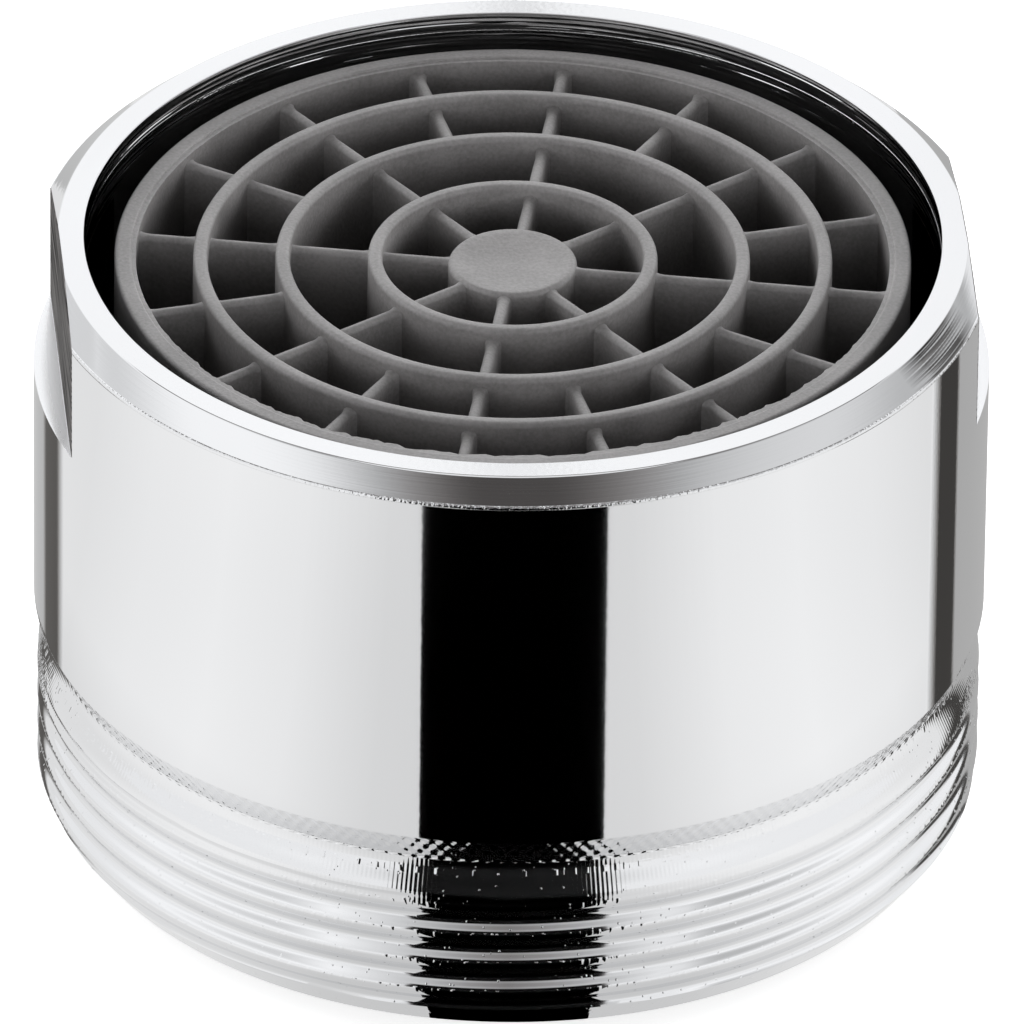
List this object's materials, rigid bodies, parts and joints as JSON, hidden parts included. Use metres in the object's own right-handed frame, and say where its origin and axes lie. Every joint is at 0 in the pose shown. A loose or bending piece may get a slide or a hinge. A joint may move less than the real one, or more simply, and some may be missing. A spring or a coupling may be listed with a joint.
{
  "type": "tap aerator",
  "caption": "Threaded tap aerator: chromed sleeve with wrench flats around a plastic cartridge with a strainer, jet head, mixing grids and a ring-and-spoke outlet grille.",
  "frame": {"origin": "centre of the sealing washer's face, the plane that the part stands on", "axes": "+Z along the axis from the threaded inlet to the outlet grille, wrench flats facing +X and -X"},
  "size_m": [0.0282, 0.0282, 0.0192],
  "materials": {
    "sleeve_chrome": "bright chrome on turned brass",
    "washer_rubber": "matte black rubber",
    "strainer_plastic": "pale moulded plastic",
    "cartridge_plastic": "dark grey moulded plastic",
    "grille_plastic": "grey moulded plastic, slightly satin"
  },
  "bodies": {
    "root": {"housing_sleeve": "sleeve_chrome", "sealing_washer": "washer_rubber", "strainer_sieve": "strainer_plastic", "jet_head": "cartridge_plastic", "mixing_grid_upper": "cartridge_plastic", "mixing_grid_lower": "cartridge_plastic", "outlet_grille": "grille_plastic"}
  },
  "joints": []
}
